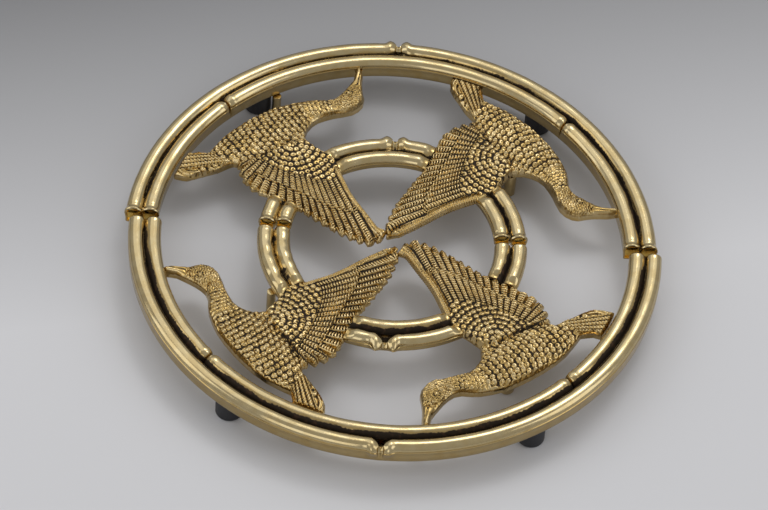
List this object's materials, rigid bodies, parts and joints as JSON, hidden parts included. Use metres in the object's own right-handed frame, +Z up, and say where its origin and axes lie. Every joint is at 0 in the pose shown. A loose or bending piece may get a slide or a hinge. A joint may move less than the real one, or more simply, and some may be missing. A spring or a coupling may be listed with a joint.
{
  "type": "openwork trivet",
  "caption": "Round openwork brass trivet: flying ducks set between a bamboo-cane rim and an inner cane ring, on rubber feet, to hold a hot dish off the table.",
  "frame": {"origin": "middle of the outline, on the table that the feet stand on", "axes": "+Z up out of the table, +Y to the back of the picture, +X to the right"},
  "size_m": [0.201, 0.2, 0.0181],
  "materials": {
    "gilt": "polished pale gilt brass with darkened grooves",
    "patinated": "chased gilt brass with dark patina between the feathers",
    "rubber": "satin black rubber"
  },
  "bodies": {
    "root": {"duck_back_left": "patinated", "duck_back_right": "patinated", "duck_front_left": "patinated", "duck_front_right": "patinated", "foot_back_left": "rubber", "foot_back_right": "rubber", "foot_front_left": "rubber", "foot_front_right": "rubber", "rim_inner_back": "gilt", "rim_inner_front": "gilt", "rim_inner_left_back": "gilt", "rim_inner_left_front": "gilt", "rim_inner_right_back": "gilt", "rim_inner_right_front": "gilt", "rim_outer_back_left": "gilt", "rim_outer_back_right": "gilt", "rim_outer_front_left": "gilt", "rim_outer_front_right": "gilt", "ring_inner_back": "gilt", "ring_inner_front": "gilt", "ring_inner_left_back": "gilt", "ring_inner_left_front": "gilt", "ring_inner_right_back": "gilt", "ring_inner_right_front": "gilt", "ring_outer_back_left": "gilt", "ring_outer_back_right": "gilt", "ring_outer_front_left": "gilt", "ring_outer_front_right": "gilt", "ring_outer_left_back": "gilt", "ring_outer_left_front": "gilt", "ring_outer_right_back": "gilt", "ring_outer_right_front": "gilt", "stud_duck_back_right": "gilt", "stud_duck_front_right": "gilt", "stud_rim_back_left": "gilt", "stud_ring_left": "gilt"}
  },
  "joints": []
}
